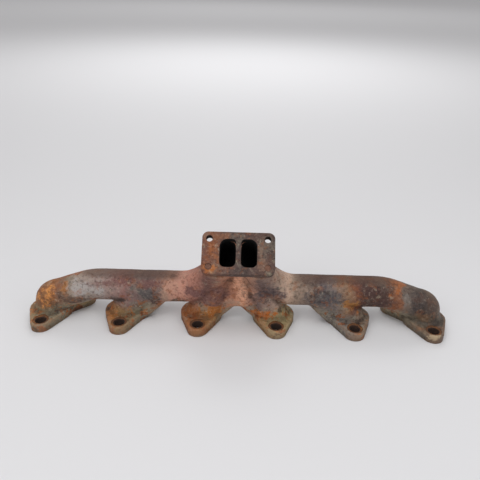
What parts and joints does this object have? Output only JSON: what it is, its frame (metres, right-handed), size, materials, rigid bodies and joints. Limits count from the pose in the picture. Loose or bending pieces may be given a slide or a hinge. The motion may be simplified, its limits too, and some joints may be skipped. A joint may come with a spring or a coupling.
{
  "type": "exhaust manifold",
  "caption": "Cast-iron log exhaust manifold for an in-line engine: a row of lobed port flanges under one log, with a divided turbocharger flange at its middle.",
  "frame": {"origin": "middle of the footprint, on the plane of the six port faces", "axes": "+X along the engine from port 1 to port 6, +Z away from the cylinder head, -Y towards the side the turbocharger flange leans to"},
  "size_m": [0.663, 0.1104, 0.1611],
  "materials": {
    "flange_iron": "rusted, machined back worn",
    "elbow_iron": "heat-scaled and rusted as-cast",
    "log_iron": "heat-scaled as-cast",
    "runner_iron": "heat-scaled as-cast",
    "collector_iron": "heat-scaled as-cast",
    "turbo_flange_iron": "machined face, rust-stained",
    "stud_steel": "snapped and seized, rusted"
  },
  "bodies": {
    "root": {"port_flange_1": "flange_iron", "port_flange_2": "flange_iron", "port_flange_3": "flange_iron", "port_flange_4": "flange_iron", "port_flange_5": "flange_iron", "port_flange_6": "flange_iron", "end_elbow_1": "elbow_iron", "log_outer_front": "log_iron", "log_middle_front": "log_iron", "log_inner_front": "log_iron", "runner_2": "runner_iron", "runner_3": "runner_iron", "collector_front": "collector_iron", "throat_front": "collector_iron", "stud_stub_front": "stud_steel", "end_elbow_6": "elbow_iron", "log_outer_rear": "log_iron", "log_middle_rear": "log_iron", "log_inner_rear": "log_iron", "runner_5": "runner_iron", "runner_4": "runner_iron", "collector_rear": "collector_iron", "throat_rear": "collector_iron", "stud_stub_rear": "stud_steel", "divider_wall": "collector_iron", "turbo_flange": "turbo_flange_iron"}
  },
  "joints": []
}
